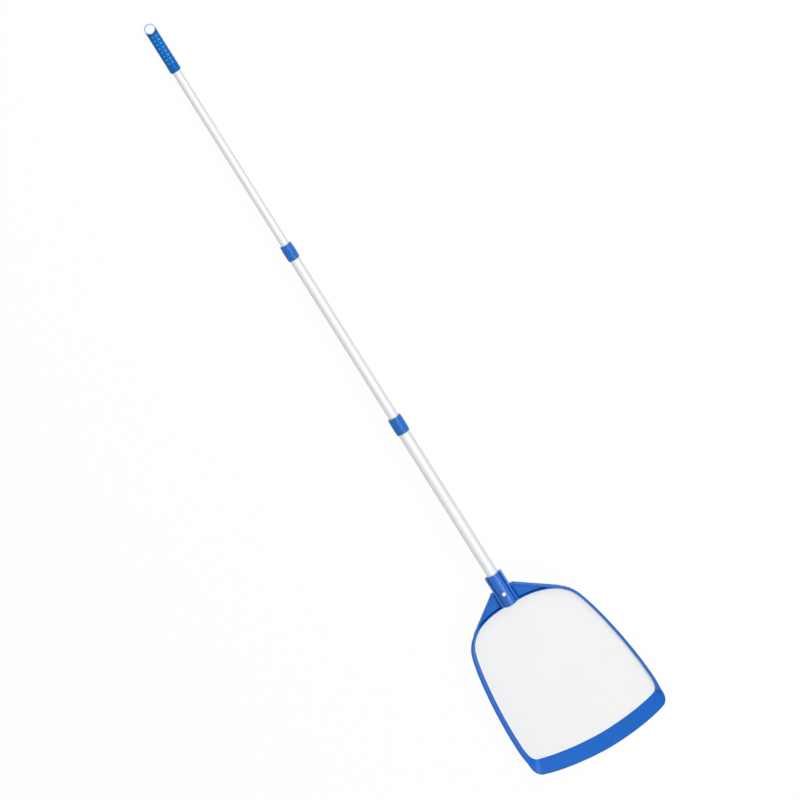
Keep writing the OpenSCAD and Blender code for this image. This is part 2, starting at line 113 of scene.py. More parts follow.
class SKIMMER_PG_grip(bpy.types.PropertyGroup):
    """Sizes and finish of the hand grip"""
    radius: length("Radius", "Radius of the grip", 0.0105)
    front: length("Front", "From the eye's middle to the grip's front end", 0.0895)
    front_round: length("Front rounding", "Rounding of the front end", 0.0016)
    hole: length("Eye hole radius", "Radius of the hanging hole", 0.0087)
    eye_half: length("Eye half thickness", "Half thickness of the eye", 0.0032)
    shoulder: length("Shoulder", "Length of the rounded shoulder behind the eye", 0.0032)
    bore: length("Bore radius", "Radius of the bore that holds the tube", 0.00805)
    turn: angle("Turn", "Turn of the eye about the pole", -10)
    dot_radius: length("Dot radius", "Radius of a raised dot", 0.0016)
    dot_height: length("Dot height", "Height of a raised dot", 0.0004)
    dot_pitch: length("Dot pitch", "Distance between dots along a row", 0.0081)
    dot_first: length("First dot", "Place of the foremost dot along the pole", 0.0701)
    dot_rows: IntProperty(name="Rows", description="Rows of dots round the grip", default=8, min=1)
    dot_count: IntProperty(name="Dots in a row", description="Dots along one row", default=8, min=1)
    grip_colour: colour("Grip", "Moulded polypropylene of the grip", "0062B2")
    # Painted light: the paler colour that the eye's thin ring is blended to
    painted_light_colour: colour("Painted light", "Where the grip's thin wall lets light through", "9EC4EA")
    # The dots' colour is their own blue, made lighter by a painted highlight
    dot_colour_and_highlight: colour("Dots", "Polished tops of the raised dots", "2488D2")


class SKIMMER_PG_head(bpy.types.PropertyGroup):
    """Sizes and finish of the moulded head"""
    pan_start: length("Pan start", "Place of the pan along the pole", 1.2395)
    pan_angle: angle("Pan angle", "Fall of the pan below the pole", 10)
    saddle_half: length("Bridge half width", "Half width of the bridge under the socket", 0.017)
    arch_m: length("Arch", "From the pan's start to the net's edge at the arch", 0.0088)
    shoulder_x: length("Shoulder half width", "Half width of the net at the shoulder", 0.1074)
    shoulder_m: length("Shoulder place", "From the pan's start to the shoulder", 0.0608)
    shoulder_angle: angle("Shoulder slope", "Slope of the net's edge at the shoulder", 72)
    side_x: length("Net half width", "Half width of the net at its widest", 0.1334)
    side_m: length("Widest place", "From the pan's start to the widest place", 0.2674)
    corner_x: length("Corner half width", "Half width of the net at the lip's corners", 0.1200)
    corner_m: length("Corner place", "From the pan's start to the lip's corners", 0.2997)
    corner_angle: angle("Corner slope", "Slope of the net's edge at the lip's corners", 163)
    lip_m: length("Lip place", "From the pan's start to the middle of the lip", 0.3159)
    side_band: length("Rim width", "Width of the rim at the sides", 0.0082)
    lip_band: length("Lip width", "Width of the rim at the lip", 0.0288)
    band_power: number("Band power", "How late the rim widens to the lip", 2.3, 1.0)
    arch_pinch: length("Arch pinch", "How much narrower the rim is beside the gussets", 0.0038)
    arch_back: length("Arch set-back", "How far the net's edge is set back there", 0.0016)
    arch_trim: length("Arch trim", "How much narrower the flange is there", 0.0016)
    flange: length("Flange width", "Width of the crowned flange round the rim", 0.004)
    flange_thick: length("Flange thickness", "Thickness of the flange", 0.0024)
    crown: length("Flange crown", "Fall of the flange's top to its edges", 0.0008)
    wall: length("Rim wall", "Thickness of the sloping wall", 0.0022)
    depth: length("Pan depth", "From the flange down to the foot", 0.0135)
    top: length("Flange height", "Height of the flange over the pole's axis", 0.0005)
    foot_thick: length("Foot thickness", "Thickness of the rim's foot", 0.0015)
    foot_wide: length("Foot width", "Width of the rim's foot", 0.005)
    gusset_half: length("Gusset back half", "Half width of the gussets at their back", 0.0227)
    gusset_back: length("Gusset back", "From the pan's start back to the gussets' end", 0.0287)
    border: length("Gusset border", "Width of a gusset's raised border", 0.0034)
    border_deep: length("Border depth", "Depth of the gussets' borders", 0.0099)
    plate_drop: length("Plate recess", "From the border's top down to the plate", 0.0022)
    plate_thick: length("Plate thickness", "Thickness of a gusset's plate", 0.0024)
    channel: length("Channel", "From the net's edge to the plate, past the rim", 0.0084)
    mouth: length("Mouth", "Place of the socket's mouth along the pole", 1.1795)
    socket_length: length("Socket length", "Length of the socket's barrel", 0.065)
    barrel: length("Barrel radius", "Radius of the socket's barrel", 0.013)
    bore: length("Bore radius", "Radius of the bore that holds the outer tube", 0.01105)
    bore_depth: length("Bore depth", "Depth of the bore from the mouth", 0.0575)
    rail_half: length("Rail half", "Half width over the socket's two side rails", 0.0163)
    rail_rise: length("Rail rise", "Half height of the side rails", 0.0071)
    rail_short: length("Rail end", "How far the rails stop short of the barrel's end", 0.0024)
    rail_step: length("Rail step", "How much wider the rails get beside the gussets", 0.0004)
    core_depth: length("Core depth", "Depth of the hollows in the rails", 0.026)
    button_place: length("Button place", "Place of the button holes along the pole", 1.2195)
    button_hole: length("Button hole", "Radius of the button holes", 0.0038)
    head_colour: colour("Head", "Moulded polypropylene of the head", "1062BE")


class SKIMMER_PG_net(bpy.types.PropertyGroup):
    """Sizes and finish of the net"""
    # A real skimmer net has a mesh of about 1 mm; the weave is drawn twice as coarse, so that it
    # shows and stays light
    pitch: length("Mesh", "Distance between strands", 0.00215)
    strand: length("Strand radius", "Radius of a strand", 0.0003)
    tuck: length("Tuck", "How far the net runs under the rim's foot", 0.0038)
    hem: length("Hem", "Width of the welded hem that shows inside the rim", 0.0018)
    hem_thick: length("Hem thickness", "Thickness of the welded hem", 0.00078)
    net_colour: colour("Net", "White monofilament of the net", "FAFAFA")
    hem_colour: colour("Hem", "White tape of the welded hem", "FFFFFF")


class SKIMMER_PG_stage(bpy.types.PropertyGroup):
    """Camera, floor and light"""
    lens: number("Lens", "Focal length of the camera in millimetres", 1400.0, 50.0, max=1600.0)
    view_width: length("View width", "Width of the view at the pole", 1.4368)
    key_light: number("Key light", "Power of the key light", 22.0, unit="POWER")
    strip_light: number("Strip light", "Power of the narrow strip by the key", 38.0, unit="POWER")
    strip_width: length("Strip width", "Width of the strip light across the pole", 0.3)
    fill_light: number("Fill light", "Power of the fill beyond the lip", 14.0, unit="POWER")
    fill_width: length("Fill width", "Width of the square fill light", 1.6)
    key_width: length("Key width", "Width of the key light across the pole", 2.2)
    key_length: length("Key length", "Length of the key light along the pole", 3.6)
    key_distance: length("Key distance", "From the key light to the middle of the pole", 2.9)
    sky: number("Sky", "Strength of the even light from all sides", 0.48)
    floor_colour: colour("Floor", "Pale studio floor", "F2F2F2")


# ---- Nodes and materials ----

def feed(tree, socket, value):
    """Sets an input to a value, or links it to a socket or to a node's first live output."""
    if isinstance(value, bpy.types.Node):
        value = next(output for output in value.outputs if output.enabled)
    if isinstance(value, bpy.types.NodeSocket):
        tree.links.new(value, socket)
    else:
        socket.default_value = value


def add_node(tree, kind, inputs=None, **settings):
    """Adds a node with its settings, then feeds its inputs."""
    node = tree.nodes.new(kind)
    for key, value in settings.items():
        setattr(node, key, value)
    for key, value in (inputs or {}).items():
        feed(tree, node.inputs[key], value)
    return node


def material_tree(name, base):
    """An empty node material whose viewport colour is its base."""
    mat = bpy.data.materials.new(name)
    mat.use_nodes = True
    mat.node_tree.nodes.clear()
    mat.diffuse_color = (*base, 1.0)
    return mat, mat.node_tree


def object_noise(tree, size, stretch=(1, 1, 1), detail=2.0):
    """Noise on object coordinates whose blobs are about size metres across."""
    place = add_node(tree, "ShaderNodeTexCoord")
    scale = add_node(tree, "ShaderNodeMapping", {"Vector": place.outputs["Object"],
                                                 "Scale": [s / size for s in stretch]})
    return add_node(tree, "ShaderNodeTexNoise", {"Vector": scale, "Scale": 1.0, "Detail": detail})


# The range that most of a noise's values lie in
NOISE_RANGE = {"From Min": 0.3, "From Max": 0.7}


def noise_blend(tree, noise, dark, light):
    """Two colours mixed by the middle range of a noise."""
    share = add_node(tree, "ShaderNodeMapRange", {"Value": noise, **NOISE_RANGE})
    return add_node(tree, "ShaderNodeMix", {"Factor": share, "A": (*dark, 1.0), "B": (*light, 1.0)},
                    data_type="RGBA")


def shade(base, share):
    """A colour darkened or lightened by a share."""
    return tuple(min(1.0, c * share) for c in base)


def moulded_plastic(name, base, rough=0.34, gloss=0.26, lit=None):
    """Injection-moulded plastic: even colour, a soft gloss and a faint orange-peel skin.
    Behind the start of the pole the colour may blend into a paler one: painted light on the eye's
    thin ring."""
    mat, tree = material_tree(name, base)
    # Flow of the melt clouds the colour over some 45 mm
    tint = noise_blend(tree, object_noise(tree, 45 * MM), shade(base, 0.94), shade(base, 1.05))
    # Painted light: behind the start of the pole the colour blends into a paler one, as if light
    # came through the thin eye
    if lit is not None:
        place = add_node(tree, "ShaderNodeTexCoord")
        along = add_node(tree, "ShaderNodeSeparateXYZ", {"Vector": place.outputs["Object"]})
        share = add_node(tree, "ShaderNodeMapRange", {
            "Value": along.outputs["Y"], "From Min": 5 * MM, "From Max": -3 * MM},
            interpolation_type="SMOOTHSTEP")
        tint = add_node(tree, "ShaderNodeMix", {"Factor": share, "A": tint, "B": (*lit, 1.0)},
                        data_type="RGBA")
    # The mould's spark-eroded skin has a grain of about 0.9 mm
    skin = object_noise(tree, 0.9 * MM, detail=1.0)
    worn = add_node(tree, "ShaderNodeMapRange", {
        "Value": skin, **NOISE_RANGE, "To Min": rough - 0.05, "To Max": rough + 0.06})
    bump = add_node(tree, "ShaderNodeBump", {
        "Height": skin, "Strength": 0.12, "Distance": 0.1 * MM})
    shader = add_node(tree, "ShaderNodeBsdfPrincipled", {
        "Base Color": tint, "Roughness": worn, "IOR": 1.49, "Specular IOR Level": gloss,
        "Normal": bump})
    add_node(tree, "ShaderNodeOutputMaterial", {"Surface": shader})
    return mat


def anodised_aluminium(name, base):
    """Drawn and clear-anodised aluminium: satin, with fine lines along the tube."""
    mat, tree = material_tree(name, base)
    # Draw lines lie some 0.6 mm apart, twice as coarse as real ones, and run 60 mm along the tube
    lines = object_noise(tree, 0.6 * MM, stretch=(1, 0.01, 1))
    tint = noise_blend(tree, lines, shade(base, 0.95), base)
    satin = add_node(tree, "ShaderNodeMapRange", {
        "Value": lines, **NOISE_RANGE, "To Min": 0.68, "To Max": 0.78})
    bump = add_node(tree, "ShaderNodeBump", {
        "Height": lines, "Strength": 0.08, "Distance": 0.05 * MM})
    shader = add_node(tree, "ShaderNodeBsdfPrincipled", {
        "Base Color": tint, "Metallic": 1.0, "Roughness": satin, "Normal": bump})
    add_node(tree, "ShaderNodeOutputMaterial", {"Surface": shader})
    return mat


def zinc_plated_steel(name, base):
    """Zinc-plated steel: cool, slightly mottled and fairly bright."""
    mat, tree = material_tree(name, base)
    # The crystals of the zinc show as patches of about 1.2 mm
    spangle = object_noise(tree, 1.2 * MM, detail=3.0)
    tint = noise_blend(tree, spangle, shade(base, 0.88), base)
    dull = add_node(tree, "ShaderNodeMapRange", {
        "Value": spangle, **NOISE_RANGE, "To Min": 0.24, "To Max": 0.4})
    shader = add_node(tree, "ShaderNodeBsdfPrincipled", {
        "Base Color": tint, "Metallic": 1.0, "Roughness": dull})
    add_node(tree, "ShaderNodeOutputMaterial", {"Surface": shader})
    return mat


def nylon_monofilament(name, base, rough=0.42):
    """Woven nylon monofilament: milky white with a smooth, soft sheen."""
    mat, tree = material_tree(name, base)
    # Uneven stretching clouds the net over some 30 mm
    tint = noise_blend(tree, object_noise(tree, 30 * MM), shade(base, 0.975), base)
    shader = add_node(tree, "ShaderNodeBsdfPrincipled", {
        "Base Color": tint, "Roughness": rough, "IOR": 1.53})
    add_node(tree, "ShaderNodeOutputMaterial", {"Surface": shader})
    return mat


def paint(mesh, mat):
    """Gives a mesh its one material."""
    mesh.materials.clear()
    mesh.materials.append(mat)


def finish_nodes(mat, *names):
    """Gives packed nodes their material."""
    for name in names:
        paint(NODES[name].data, mat)


# ---- Mesh helpers ----

# Edges that turn by more than this stay sharp
SHARP_TURN = math.radians(38)


def new_object(name, data):
    """An object in the scene that holds the data."""
    obj = bpy.data.objects.new(name, data)
    bpy.context.scene.collection.objects.link(obj)
    return obj


def raw_object(name, points, faces=(), edges=()):
    """A mesh object in the scene, from its points and faces or edges."""
    mesh = bpy.data.meshes.new(name)
    mesh.from_pydata([tuple(p) for p in points], list(edges), list(faces))
    mesh.validate()
    return new_object(name, mesh)


def settle(obj):
    """Turns what an object's modifiers make into its plain mesh."""
    bpy.context.view_layer.update()
    depsgraph = bpy.context.evaluated_depsgraph_get()
    mesh = bpy.data.meshes.new_from_object(obj.evaluated_get(depsgraph))
    obj.modifiers.clear()
    obj.data = mesh
    return obj


def soften(obj, mat):
    """Smooth faces whose large flats stay flat, with true edges kept sharp."""
    mesh = obj.data
    mesh.polygons.foreach_set("use_smooth", [True] * len(mesh.polygons))
    mesh.set_sharp_from_angle(angle=SHARP_TURN)
    obj.modifiers.new("weighted normals", "WEIGHTED_NORMAL").keep_sharp = True
    paint(settle(obj).data, mat)


def run_tree(obj, tree, values):
    """Evaluates a Geometry Nodes tree on obj and keeps the result as its plain mesh."""
    modifier = obj.modifiers.new(tree.name, "NODES")
    modifier.node_group = tree
    for item in tree.interface.items_tree:
        if item.item_type == "SOCKET" and item.in_out == "INPUT" and item.name in values:
            modifier[item.identifier] = values[item.name]
    return settle(obj)


def node_tree(name, inputs):
    """A Geometry Nodes tree with a geometry in and out, and its named inputs' sockets."""
    tree = bpy.data.node_groups.new(name, "GeometryNodeTree")
    face = tree.interface
    face.new_socket("Geometry", in_out="INPUT", socket_type="NodeSocketGeometry")
    for label, kind in inputs:
        face.new_socket(label, in_out="INPUT", socket_type="NodeSocket" + kind)
    face.new_socket("Geometry", in_out="OUTPUT", socket_type="NodeSocketGeometry")
    return tree, add_node(tree, "NodeGroupInput").outputs


def end_tree(tree, geometry, material):
    """Ends a tree with Realize Instances and Set Material."""
    real = add_node(tree, "GeometryNodeRealizeInstances", {"Geometry": geometry})
    painted = add_node(tree, "GeometryNodeSetMaterial", {"Geometry": real, "Material": material})
    add_node(tree, "NodeGroupOutput", {"Geometry": painted})
    return tree


def circle(radius, sides=64):
    """A circle's points, counter-clockwise."""
    turn = np.arange(sides) / sides * 2 * math.pi
    return radius * np.stack([np.cos(turn), np.sin(turn)], 1)


def rectangle(left, right, low, high):
    """A rectangle's corners, counter-clockwise."""
    return np.array([[left, low], [right, low], [right, high], [left, high]])


def rounded(points, radii, steps=4):
    """A polygon with each corner rounded by its own radius."""
    out = []
    for i, corner in enumerate(points):
        back, ahead = points[i - 1] - corner, points[(i + 1) % len(points)] - corner
        back_length, ahead_length = np.linalg.norm(back), np.linalg.norm(ahead)
        back, ahead = back / back_length, ahead / ahead_length
        half = math.acos(max(-1.0, min(1.0, float(back @ ahead)))) / 2
        cut = min(radii[i] / math.tan(half), 0.45 * back_length, 0.45 * ahead_length)
        start, end = corner + back * cut, corner + ahead * cut
        shares = np.linspace(0, 1, steps + 1) if cut > 1e-7 else [0.5]
        out += [(1 - t) ** 2 * start + 2 * t * (1 - t) * corner + t * t * end for t in shares]
    return np.array(out)


def prism(outline, low, high, edge=0.0, steps=3):
    """A closed prism over a counter-clockwise outline, its two rims rounded by edge."""
    run = np.roll(outline, -1, 0) - outline
    run /= np.linalg.norm(run, axis=1)[:, None]
    side = np.stack([run[:, 1], -run[:, 0]], 1)
    before = np.roll(side, 1, 0)
    mitre = (side + before) / (1 + np.sum(side * before, 1))[:, None]
    quarter = np.linspace(0, math.pi / 2, steps + 1) if edge > 0 else np.array([math.pi / 2])
    levels = [(edge * (1 - math.sin(t)), low + edge * (1 - math.cos(t))) for t in quarter]
    levels += [(edge * (1 - math.sin(t)), high - edge * (1 - math.cos(t))) for t in quarter[::-1]]
    n = len(outline)
    points = [(*p, z) for inset, z in levels for p in outline - mitre * inset]
    faces = [(k * n + i, k * n + (i + 1) % n, (k + 1) * n + (i + 1) % n, (k + 1) * n + i)
             for k in range(len(levels) - 1) for i in range(n)]
    last = (len(levels) - 1) * n
    faces += [tuple(range(n - 1, -1, -1)), tuple(range(last, last + n))]
    return points, faces


def placed(shape, matrix):
    """A shape moved by a matrix."""
    points, faces = shape
    return [tuple(matrix @ Vector(p)) for p in points], faces


def along_pole(shape):
    """Turns a shape whose length is on Z so that it lies along the pole."""
    return placed(shape, Matrix.Rotation(-math.pi / 2, 4, "X"))


def carve(name, base, *steps):
    """One closed mesh: a base shape with others joined to it or cut from it, step by step."""
    body = raw_object(name, *base)
    tools = []
    for operation, shapes in steps:
        for shape in shapes:
            tools.append(raw_object("tool", *shape))
            modifier = body.modifiers.new(operation.lower(), "BOOLEAN")
            modifier.operation, modifier.solver, modifier.object = operation, "EXACT", tools[-1]
    settle(body)
    for tool in tools:
        bpy.data.objects.remove(tool)
    return body


# ---- Rim ----

# The curves of the net's edge from the arch to the lip: handles at both ends in mm, and points
EDGE_CURVES = (((25, 45.6), 84), ((40, 75), 60), ((24.6, 7.7), 54), ((37.6, 33.7), 42))
# The arch begins where the edge's outward direction has this part along the pan, and ends here
ARCH_FROM, ARCH_FULL = -0.80, -0.95
# The rim's edges that turn by more than this are rounded, by this width
ROUNDED_TURN, ROUNDED_EDGE = math.radians(20), 0.6 * MM
RIM_SIZES = ("side_band", "lip_band", "band_power", "arch_pinch", "arch_trim", "flange",
             "flange_thick", "crown", "wall", "depth", "foot_thick", "foot_wide", "top")


def direction(turn):
    """The unit vector at an angle from +X."""
    return np.array([math.cos(turn), math.sin(turn)])


def bow(p, turn_p, q, turn_q, pull, steps):
    """Points and outward normals on a curve from p to q with given end directions."""
    r, s = p + pull[0] * MM * direction(turn_p), q - pull[1] * MM * direction(turn_q)
    t = (np.arange(steps) / steps)[:, None]
    points = (1 - t) ** 3 * p + 3 * t * (1 - t) ** 2 * r + 3 * t * t * (1 - t) * s + t ** 3 * q
    slope = (1 - t) ** 2 * (r - p) + 2 * t * (1 - t) * (s - r) + t * t * (q - s)
    slope /= np.linalg.norm(slope, axis=1)[:, None]
    return points, np.stack([slope[:, 1], -slope[:, 0]], 1)


def half_edge(head):
    """Edge of the net opening from the arch to the lip's middle, on the +X side."""
    knots = [((head.saddle_half, head.arch_m), 0.0),
             ((head.shoulder_x, head.shoulder_m), head.shoulder_angle),
             ((head.side_x, head.side_m), math.pi / 2),
             ((head.corner_x, head.corner_m), head.corner_angle),
             ((0.0, head.lip_m), math.pi)]
    parts = [bow(np.array(p), turn_p, np.array(q), turn_q, pull, steps)
             for (p, turn_p), (q, turn_q), (pull, steps) in zip(knots, knots[1:], EDGE_CURVES)]
    return [np.concatenate(values) for values in zip(*parts)]


def net_edge(head):
    """Closed edge of the net opening in the pan's plane: points and outward normals."""
    points, normals = half_edge(head)
    bridge = np.stack([np.linspace(0, head.saddle_half, 6)[:-1], np.full(5, head.arch_m)], 1)
    points = np.concatenate([bridge, points, [[0.0, head.lip_m]]])
    normals = np.concatenate([np.tile([0.0, -1.0], (5, 1)), normals, [[0.0, 1.0]]])
    ease = np.clip((ARCH_FROM - normals[:, 1:]) / (ARCH_FROM - ARCH_FULL), 0, 1)
    points = points + head.arch_back * ease ** 2 * (3 - 2 * ease) * normals
    flip = np.array([-1.0, 1.0])
    return (np.concatenate([points, points[-2:0:-1] * flip]),
            np.concatenate([normals, normals[-2:0:-1] * flip]))


def pan_matrix(head):
    """From the pan's own plane to the model's frame."""
    return Matrix.Translation((0, head.pan_start, 0)) @ Matrix.Rotation(-head.pan_angle, 4, "X")


def edge_path(name, points, normals):
    """A closed line whose points carry their place and the direction away from the net."""
    count = len(points)
    path = raw_object(name, [(*p, 0.0) for p in points],
                      edges=[(i, (i + 1) % count) for i in range(count)])
    for label, values in (("centre", points), ("outward", normals)):
        layer = path.data.attributes.new(label, "FLOAT_VECTOR", "POINT")
        flat = np.concatenate([values, np.zeros((count, 1))], 1).astype(np.float32)
        layer.data.foreach_set("vector", flat.ravel())
    return path


def rim_tree():
    """Geometry Nodes: sweeps the rim's section, which widens to the lip, round the net's edge."""
    tree, given = node_tree("moulded rim", [(size, "Float") for size in RIM_SIZES]
                            + [("Material", "Material")])
    outward, centre = [
        add_node(tree, "GeometryNodeInputNamedAttribute", {"Name": name}, data_type="FLOAT_VECTOR")
        for name in ("outward", "centre")]
    facing = add_node(tree, "ShaderNodeSeparateXYZ", {"Vector": outward}).outputs["Y"]
    arch = add_node(tree, "ShaderNodeMapRange", {
        "Value": facing, "From Min": ARCH_FROM, "From Max": ARCH_FULL},
        interpolation_type="SMOOTHSTEP")
    known = {**{size: given[size] for size in RIM_SIZES}, "facing": facing, "arch": arch}
    for name, operation, *terms in (
            # Width of the band, from which way it faces
            ("front", "MAXIMUM", "facing", 0.0),
            ("front", "POWER", "front", "band_power"),
            ("extra", "SUBTRACT", "lip_band", "side_band"),
            ("wide", "MULTIPLY_ADD", "front", "extra", "side_band"),
            ("narrow", "MULTIPLY", "arch", "arch_pinch"),
            ("band", "SUBTRACT", "wide", "narrow"),
            ("narrow", "MULTIPLY", "arch", "arch_trim"),
            ("flange", "SUBTRACT", "flange", "narrow"),
            # The sloping wall, which runs from the foot up to the flange
            ("run", "SUBTRACT", "band", "flange"),
            ("rise", "SUBTRACT", "depth", "foot_thick"),
            ("square", "MULTIPLY", "rise", "rise"),
            ("square", "MULTIPLY_ADD", "run", "run", "square"),
            ("face", "SQRT", "square"),
            ("share", "DIVIDE", "wall", "face"),
            ("drop", "MULTIPLY", "share", "run"),
            ("shift", "MULTIPLY", "share", "rise"),
            ("slope", "DIVIDE", "run", "rise"),
            ("under", "SUBTRACT", "rise", "flange_thick"),
            ("under", "ADD", "under", "drop"),
            ("under_top", "MULTIPLY_ADD", "slope", "under", "shift"),
            ("under_foot", "MULTIPLY_ADD", "slope", "drop", "shift"),
            # The foot's outer end, and its heights
            ("toe", "ADD", "under_foot", 0.6 * MM),
            ("toe", "MAXIMUM", "toe", "foot_wide"),
            ("foot", "SUBTRACT", "top", "depth"),
            ("step", "ADD", "foot", "foot_thick"),
            # The flange's crown
            ("inner", "MULTIPLY_ADD", "flange", 0.25, "run"),
            ("middle", "MULTIPLY_ADD", "flange", 0.5, "run"),
            ("outer", "MULTIPLY_ADD", "flange", 0.75, "run"),
            ("edge", "SUBTRACT", "top", "crown"),
            ("near", "MULTIPLY_ADD", "crown", -0.16, "top"),
            ("low", "SUBTRACT", "top", "flange_thick")):
        known[name] = add_node(tree, MATH, {i: known.get(term, term)
                                            for i, term in enumerate(terms)}, operation=operation)
    section = ((0.0, "foot"), (0.0, "step"), ("run", "edge"), ("inner", "near"),
               ("middle", "top"), ("outer", "near"), ("band", "edge"), ("band", "low"),
               ("under_top", "low"), ("under_foot", "step"), ("toe", "step"), ("toe", "foot"))

    ring = add_node(tree, "GeometryNodeCurvePrimitiveCircle", {"Resolution": len(section)})
    count = add_node(tree, "GeometryNodeInputIndex")
    ring = add_node(tree, "GeometryNodeStoreNamedAttribute", {
        "Geometry": ring, "Name": "corner", "Value": count}, data_type="INT", domain="POINT")
    path = add_node(tree, "GeometryNodeMeshToCurve", {"Mesh": given["Geometry"]})
    tube = add_node(tree, "GeometryNodeCurveToMesh", {"Curve": path, "Profile Curve": ring})
    corner = add_node(tree, "GeometryNodeInputNamedAttribute", {"Name": "corner"}, data_type="INT")
    picks = []
    for values in zip(*section):
        picks.append(add_node(tree, "GeometryNodeIndexSwitch", data_type="FLOAT"))
        while len(picks[-1].index_switch_items) < len(section):
            picks[-1].index_switch_items.new()
        for socket, value in zip(picks[-1].inputs, (corner, *values)):
            feed(tree, socket, known.get(value, value))
    away = add_node(tree, "ShaderNodeVectorMath", {0: outward, "Scale": picks[0]},
                    operation="SCALE")
    up = add_node(tree, "ShaderNodeCombineXYZ", {"Z": picks[1]})
    spot = add_node(tree, "ShaderNodeVectorMath", {0: centre, 1: away}, operation="ADD")
    spot = add_node(tree, "ShaderNodeVectorMath", {0: spot, 1: up}, operation="ADD")
    shaped = add_node(tree, "GeometryNodeSetPosition", {"Geometry": tube, "Position": spot})
    return end_tree(tree, shaped, given["Material"])


def face_outwards(obj):
    """Turns a closed mesh's faces round if they enclose a negative volume."""
    mesh = obj.data
    mesh.calc_loop_triangles()
    volume = sum(mesh.vertices[t.vertices[0]].co.dot(
        mesh.vertices[t.vertices[1]].co.cross(mesh.vertices[t.vertices[2]].co))
        for t in mesh.loop_triangles)
    if volume < 0:
        mesh.flip_normals()


class SKIMMER_OT_rim(bpy.types.Operator):
    """Builds the rim with its wide front lip"""
    bl_idname = "skimmer.rim"
    bl_label = "Rim"

    def execute(self, context):
        head = context.scene.skimmer_head
        mat = moulded_plastic("moulded polypropylene, rim", head.head_colour)
        rim = edge_path("rim", *net_edge(head))
        run_tree(rim, rim_tree(), {**{size: getattr(head, size) for size in RIM_SIZES},
                                   "Material": mat})
        face_outwards(rim)
        bevel = rim.modifiers.new("moulded edges", "BEVEL")
        bevel.width, bevel.segments, bevel.limit_method = ROUNDED_EDGE, 3, "ANGLE"
        bevel.angle_limit = ROUNDED_TURN
        settle(rim)
        rim.data.transform(pan_matrix(head))
        soften(rim, mat)
        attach(rim, POLE)
        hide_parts("pan_rim")
        return {"FINISHED"}


# ---- Gussets and socket ----

def gusset_shapes(head, side):
    """Shapes of one gusset in the pan's plane: its plate, borders, ridge and channel floor."""
    points, normals = half_edge(head)
    start, channel_m = -head.gusset_back, head.arch_m - head.channel
    back = np.array([head.gusset_half, start])

    # The gusset's outer edge runs from its back end to where it only just touches the rim
    rim_edge = points + head.side_band * normals
    lean = np.sum((rim_edge - back) * normals, 1)
    touch = int(np.argmin(np.abs(np.where(points[:, 1] < head.shoulder_m, lean, 1.0))))
    tip = rim_edge[touch]
    ahead = (tip - back) / np.linalg.norm(tip - back)
    outer = np.array([ahead[1], -ahead[0]])

    # Plates reach under the bridge and the borders, whose tops lie a hair below the flange
    inner_x, under = head.saddle_half - MM, 0.5 * head.border
    low, border_top = head.top - head.border_deep, head.top - 0.12 * MM
    plate_top = head.top - head.plate_drop

    def behind(out):
        """Points of an offset edge that lie well inside the border, from the tip back."""
        line = points + out * normals
        inside = (line - back) @ outer < -under
        return line[:touch][inside[:touch]][::-1]

    def strip(far, near):
        """The strip between two offset edges."""
        return np.concatenate([[[inner_x, head.arch_m - far]], behind(far)[::-1], behind(near),
                               [[inner_x, head.arch_m - near]]])

    def block(outline, low, high, edge=0.0):
        """A prism over an outline, which is turned over on the -X side."""
        return prism((np.array(outline) * [side, 1.0])[::side], low, high, edge)

    # The border runs out in a wedge that the rim's wall takes in
    border = rounded(np.array([back, tip, tip + 12 * MM * ahead - head.border * outer,
                               back - head.border * outer]), np.array([1.6, 3, 0.9, 0.9]) * MM)
    end = [[inner_x, start], back, back - head.border * outer, [inner_x, start + 2.4 * MM]]
    plate = np.concatenate([[[inner_x, start + MM], back - under * outer],
                            behind(head.channel), [[inner_x, channel_m]]])
    ridge_x = head.saddle_half + 1.6 * MM
    ridge = rounded(rectangle(ridge_x, ridge_x + 2.2 * MM, start + MM, channel_m), [0.5 * MM] * 4)
    channel_wall = strip(head.channel + 2 * MM, head.channel)
    channel_floor = strip(head.channel + MM, 3 * MM)
    return (block(border, low, border_top, 0.8 * MM),
            [block(end, low, border_top - 0.2 * MM, 0.5 * MM),
             block(plate, plate_top - head.plate_thick, plate_top, 0.4 * MM),
             block(channel_wall, low + 0.3 * MM, plate_top - 0.5 * MM),
             block(channel_floor, low + 0.3 * MM, low + 1.7 * MM),
             block(ridge, low, border_top - 0.3 * MM, 0.6 * MM)])


class SKIMMER_OT_gussets(bpy.types.Operator):
    """Builds the two gussets between the socket and the rim"""
    bl_idname = "skimmer.gussets"
    bl_label = "Gussets"

    def execute(self, context):
        head = context.scene.skimmer_head
        mat = moulded_plastic("moulded polypropylene, gusset", head.head_colour)
        for name, node, side in (("right_web", "right_gusset", 1), ("left_web", "left_gusset", -1)):
            base, joined = gusset_shapes(head, side)
            web = carve(name, base, ("UNION", joined))
            web.data.transform(pan_matrix(head))
            soften(web, mat)
            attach(web, POLE)
            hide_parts(node)
        return {"FINISHED"}


